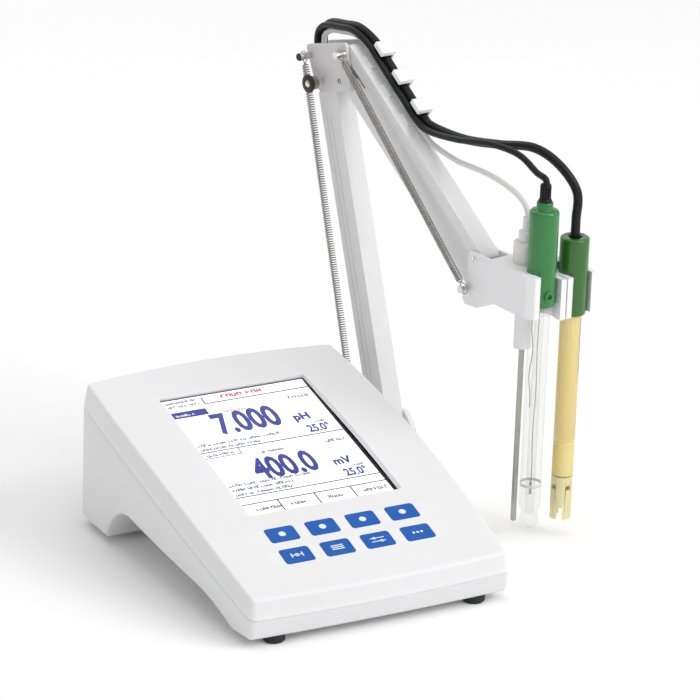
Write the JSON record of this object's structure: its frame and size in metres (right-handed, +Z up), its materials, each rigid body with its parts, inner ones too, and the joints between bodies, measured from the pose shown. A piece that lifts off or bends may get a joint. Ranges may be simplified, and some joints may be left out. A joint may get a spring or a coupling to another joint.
{
  "type": "pH meter",
  "caption": "Bench pH meter with a sloping display case, flush keys and a swivelling spring arm that holds a pH, a conductivity and a temperature probe.",
  "frame": {"origin": "on the table, at the middle foot under the case", "axes": "+X to the right of someone facing the display, +Y to the back, +Z up"},
  "size_m": [0.2461, 0.268, 0.2688],
  "materials": {
    "white_shell": "satin",
    "arm_plastic": "satin",
    "plate_grey": "satin",
    "key_blue": "satin",
    "clear_window": "gloss",
    "dark_plastic": "satin",
    "display_glass": "gloss",
    "silicone": "matte",
    "board_green": "satin",
    "rubber_black": "matte",
    "bright_steel": "brushed",
    "nickel": "polished",
    "brass": "polished",
    "spring_steel": "satin",
    "cap_green": "gloss",
    "clear_glass": "gloss",
    "element_grey": "gloss",
    "amber_epoxy": "gloss",
    "probe_white": "gloss",
    "cable_black": "matte",
    "cable_white": "matte",
    "plate_steel": "satin"
  },
  "bodies": {
    "case": {"upper_case": "white_shell", "lower_case": "white_shell", "display_window": "clear_window", "display_frame": "dark_plastic", "display_panel": "display_glass", "keypad_mat": "silicone", "keypad_board": "board_green", "main_board": "board_green", "input_board": "board_green", "clock_battery": "nickel", "case_screws": "bright_steel", "feet": "rubber_black", "ph_socket": "nickel", "reference_jack": "brass", "temperature_socket": "dark_plastic", "conductivity_socket": "dark_plastic", "usb_socket": "nickel", "serial_socket": "nickel", "power_jack": "dark_plastic", "switch_frame": "dark_plastic", "base_plate": "plate_steel", "base_plate_screws": "bright_steel", "base_plate_feet": "rubber_black", "swivel_post": "bright_steel", "ph_cable": "cable_black", "conductivity_cable": "cable_black", "temperature_cable": "cable_white"},
    "key_1_body": {"key_1": "key_blue"},
    "key_2_body": {"key_2": "key_blue"},
    "key_3_body": {"key_3": "key_blue"},
    "key_4_body": {"key_4": "key_blue"},
    "key_5_body": {"key_5": "key_blue"},
    "key_6_body": {"key_6": "key_blue"},
    "key_7_body": {"key_7": "key_blue"},
    "key_8_body": {"key_8": "key_blue"},
    "rocker": {"power_switch": "dark_plastic"},
    "swivel": {"swivel_base": "arm_plastic", "shoulder_pins": "bright_steel", "lower_springs": "spring_steel"},
    "lower_arm_body": {"lower_arm": "arm_plastic"},
    "lower_link_body": {"lower_link": "arm_plastic"},
    "elbow": {"elbow_bracket": "plate_grey", "elbow_pins": "bright_steel", "upper_springs": "spring_steel"},
    "knob": {"tension_knob": "dark_plastic"},
    "upper_arm_body": {"upper_arm": "arm_plastic", "cable_clips": "arm_plastic"},
    "upper_link_body": {"upper_link": "arm_plastic"},
    "head": {"electrode_head": "arm_plastic", "head_pins": "bright_steel", "ph_cap": "cap_green", "ph_glass": "clear_glass", "ph_element": "element_grey", "conductivity_cap": "cap_green", "conductivity_body": "amber_epoxy", "conductivity_sleeve": "amber_epoxy", "temperature_cap": "probe_white", "temperature_rod": "bright_steel", "ph_strain_relief": "cable_black"}
  },
  "joints": [
    {"name": "key_1_press", "type": "slide", "parent": "case", "child": "key_1_body", "axis": [0, 0.2701, -0.9628], "range_m": [0, 0.0005]},
    {"name": "key_2_press", "type": "slide", "parent": "case", "child": "key_2_body", "axis": [0, 0.2701, -0.9628], "range_m": [0, 0.0005]},
    {"name": "key_3_press", "type": "slide", "parent": "case", "child": "key_3_body", "axis": [0, 0.2701, -0.9628], "range_m": [0, 0.0005]},
    {"name": "key_4_press", "type": "slide", "parent": "case", "child": "key_4_body", "axis": [0, 0.2701, -0.9628], "range_m": [0, 0.0005]},
    {"name": "key_5_press", "type": "slide", "parent": "case", "child": "key_5_body", "axis": [0, 0.2701, -0.9628], "range_m": [0, 0.0005]},
    {"name": "key_6_press", "type": "slide", "parent": "case", "child": "key_6_body", "axis": [0, 0.2701, -0.9628], "range_m": [0, 0.0005]},
    {"name": "key_7_press", "type": "slide", "parent": "case", "child": "key_7_body", "axis": [0, 0.2701, -0.9628], "range_m": [0, 0.0005]},
    {"name": "key_8_press", "type": "slide", "parent": "case", "child": "key_8_body", "axis": [0, 0.2701, -0.9628], "range_m": [0, 0.0005]},
    {"name": "power_rocker", "type": "hinge", "parent": "case", "child": "rocker", "pos_m": [0.06, 0.102, 0.06], "axis": [1, 0, 0], "range_deg": [-8, 8]},
    {"name": "arm_swivel", "type": "hinge", "parent": "case", "child": "swivel", "pos_m": [0.1053, 0.075, 0], "axis": [0, 0, 1], "range_deg": [-12, 45], "deforming": ["ph_cable", "conductivity_cable", "temperature_cable"]},
    {"name": "shoulder", "type": "hinge", "parent": "swivel", "child": "lower_arm_body", "pos_m": [0.10458, 0.07954, 0.036], "axis": [0.9877, 0.1564, 0], "range_deg": [-4, 30], "deforming": ["lower_springs"]},
    {"name": "lower_link_pivot", "type": "hinge", "parent": "swivel", "child": "lower_link_body", "pos_m": [0.10364, 0.08548, 0.03449], "axis": [0.9877, 0.1564, 0], "range_deg": [-4, 30]},
    {"name": "elbow_level", "type": "hinge", "parent": "lower_arm_body", "child": "elbow", "pos_m": [0.09681, 0.12863, 0.23385], "axis": [0.9877, 0.1564, 0], "range_deg": [-30, 4]},
    {"name": "knob_turn", "type": "hinge", "parent": "elbow", "child": "knob", "pos_m": [0.07903, 0.12581, 0.23385], "axis": [0.9877, 0.1564, 0], "continuous": true},
    {"name": "upper_arm_lift", "type": "hinge", "parent": "elbow", "child": "upper_arm_body", "pos_m": [0.10017, 0.10739, 0.25385], "axis": [-0.9877, -0.1564, 0], "range_deg": [0, 60], "deforming": ["upper_springs"]},
    {"name": "upper_link_pivot", "type": "hinge", "parent": "elbow", "child": "upper_link_body", "pos_m": [0.09937, 0.11243, 0.23685], "axis": [-0.9877, -0.1564, 0], "range_deg": [0, 60]},
    {"name": "head_level", "type": "hinge", "parent": "upper_arm_body", "child": "head", "pos_m": [0.11891, -0.01091, 0.16027], "axis": [-0.9877, -0.1564, 0], "range_deg": [-60, 0]}
  ],
  "couplings": [
    {"joint": "lower_link_pivot", "follows": "shoulder", "ratio": 1},
    {"joint": "elbow_level", "follows": "shoulder", "ratio": -1},
    {"joint": "upper_link_pivot", "follows": "upper_arm_lift", "ratio": 1},
    {"joint": "head_level", "follows": "upper_arm_lift", "ratio": -1}
  ]
}
